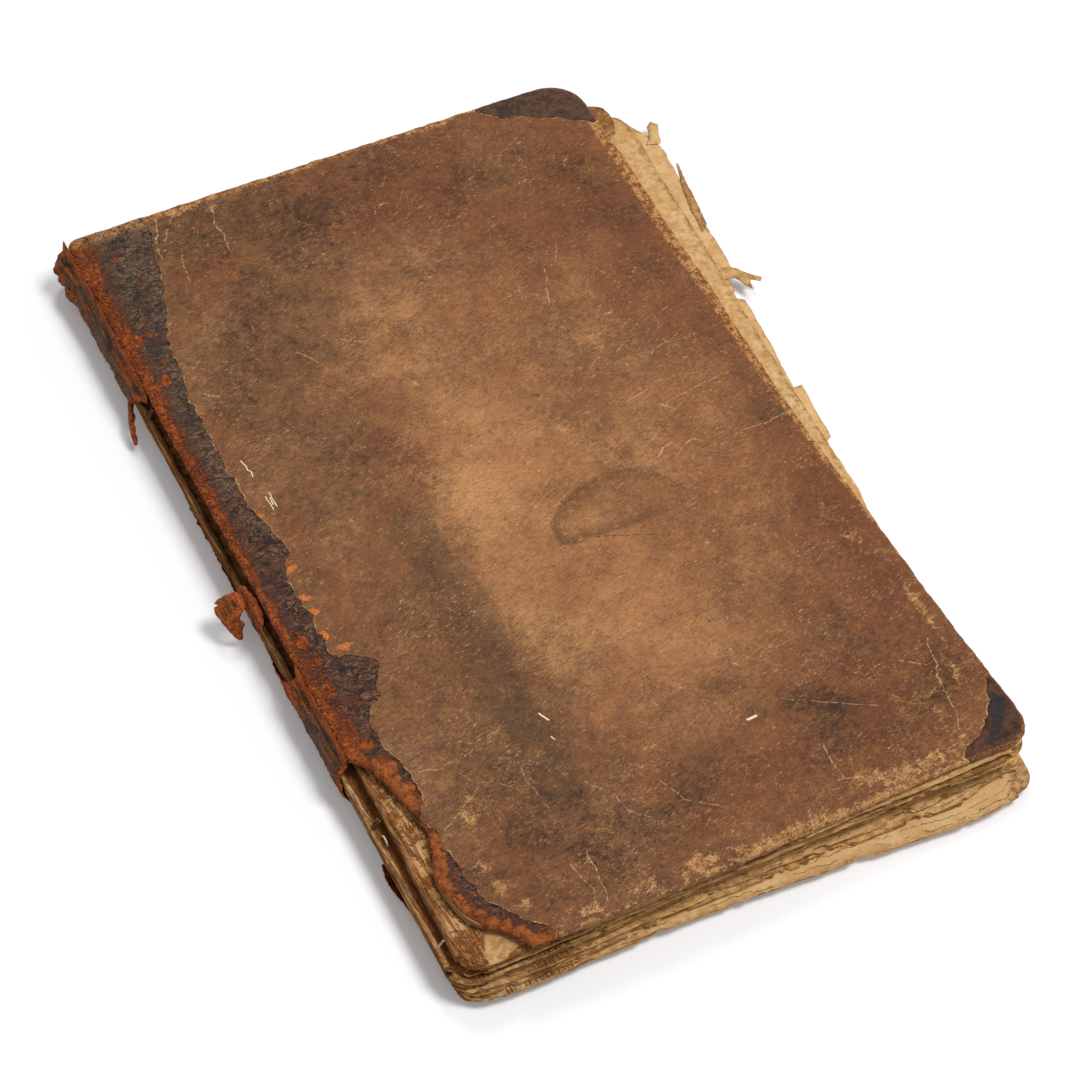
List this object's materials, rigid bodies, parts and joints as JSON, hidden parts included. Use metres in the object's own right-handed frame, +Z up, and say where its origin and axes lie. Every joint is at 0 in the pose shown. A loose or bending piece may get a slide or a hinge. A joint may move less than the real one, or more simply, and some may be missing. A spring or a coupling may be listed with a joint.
{
  "type": "antique leather-bound book",
  "caption": "Worn antique book with leather covers, broken spine leather and fanned leaves, lying closed on its back cover; both covers open.",
  "frame": {"origin": "middle of the back cover's underside, which rests on the table", "axes": "+X from the spine to the fore edge, +Y from the tail to the head of the covers, +Z up out of the front cover"},
  "size_m": [0.2388, 0.3436, 0.021],
  "materials": {
    "side_leather": "worn brown calf, matt, rubbed lighter in the middle, scuffed and cracked",
    "dark_leather": "dark brown leather, polished by handling, flaking to orange",
    "perished_leather": "red-rotted orange brown leather, powdery and torn",
    "pasteboard": "brown pasteboard, rough",
    "pastedown_paper": "aged cream paper, matt",
    "leaf_paper": "aged cream laid paper with brown worn edges",
    "hemp_cord": "twisted hemp cord, matt",
    "linen_thread": "off-white linen thread"
  },
  "bodies": {
    "block": {"text_block": "leaf_paper", "sewing_cords": "hemp_cord", "sewing_thread": "linen_thread", "spine_leather_head": "perished_leather", "spine_leather_middle": "perished_leather", "spine_leather_lower": "perished_leather", "spine_tail_tab": "perished_leather"},
    "front_cover": {"front_board": "pasteboard", "front_side_leather": "side_leather", "front_spine_strip": "dark_leather", "front_head_corner": "dark_leather", "front_tail_corner": "dark_leather", "front_pastedown": "pastedown_paper"},
    "back_cover": {"back_board": "pasteboard", "back_side_leather": "side_leather", "back_spine_strip": "dark_leather", "back_head_corner": "dark_leather", "back_tail_corner": "dark_leather", "back_pastedown": "pastedown_paper"}
  },
  "joints": [
    {"name": "front_cover_hinge", "type": "hinge", "parent": "block", "child": "front_cover", "pos_m": [-0.1025, 0, 0.0195], "axis": [0, -1, 0], "range_deg": [0, 180]},
    {"name": "back_cover_hinge", "type": "hinge", "parent": "block", "child": "back_cover", "pos_m": [-0.1025, 0, 0.0015], "axis": [0, 1, 0], "range_deg": [0, 180]}
  ]
}
